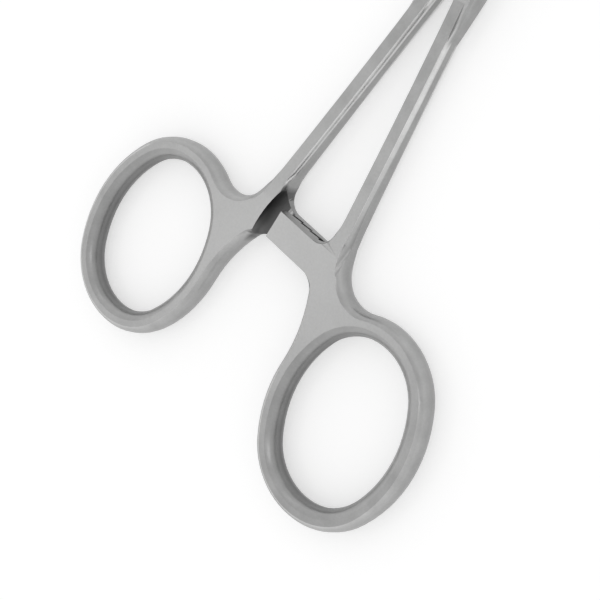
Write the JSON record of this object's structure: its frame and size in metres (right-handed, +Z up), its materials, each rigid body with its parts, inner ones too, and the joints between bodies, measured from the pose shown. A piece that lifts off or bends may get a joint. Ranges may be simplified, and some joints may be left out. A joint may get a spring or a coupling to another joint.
{
  "type": "locking forceps",
  "caption": "Ring-handled locking forceps in satin stainless steel with a box lock, a toothed ratchet between the fluted shanks and straight serrated jaws.",
  "frame": {"origin": "on the pivot axis, in the plane of the box lock's flat underside", "axes": "+Y from the pivot towards the tips of the jaws, +Z up along the pivot axis, +X towards the finger ring of the half with the slotted box"},
  "size_m": [0.0774, 0.139, 0.0048],
  "materials": {
    "forged_steel": "satin, fine grain",
    "pin_steel": "satin, ground flush"
  },
  "bodies": {
    "box_side": {"box_half": "forged_steel", "pivot_pin": "pin_steel"},
    "tongue_side": {"tongue_half": "forged_steel"}
  },
  "joints": [
    {"name": "pivot", "type": "hinge", "parent": "box_side", "child": "tongue_side", "pos_m": [0, 0, 0.0024], "axis": [0, 0, -1], "range_deg": [0, 50]}
  ]
}
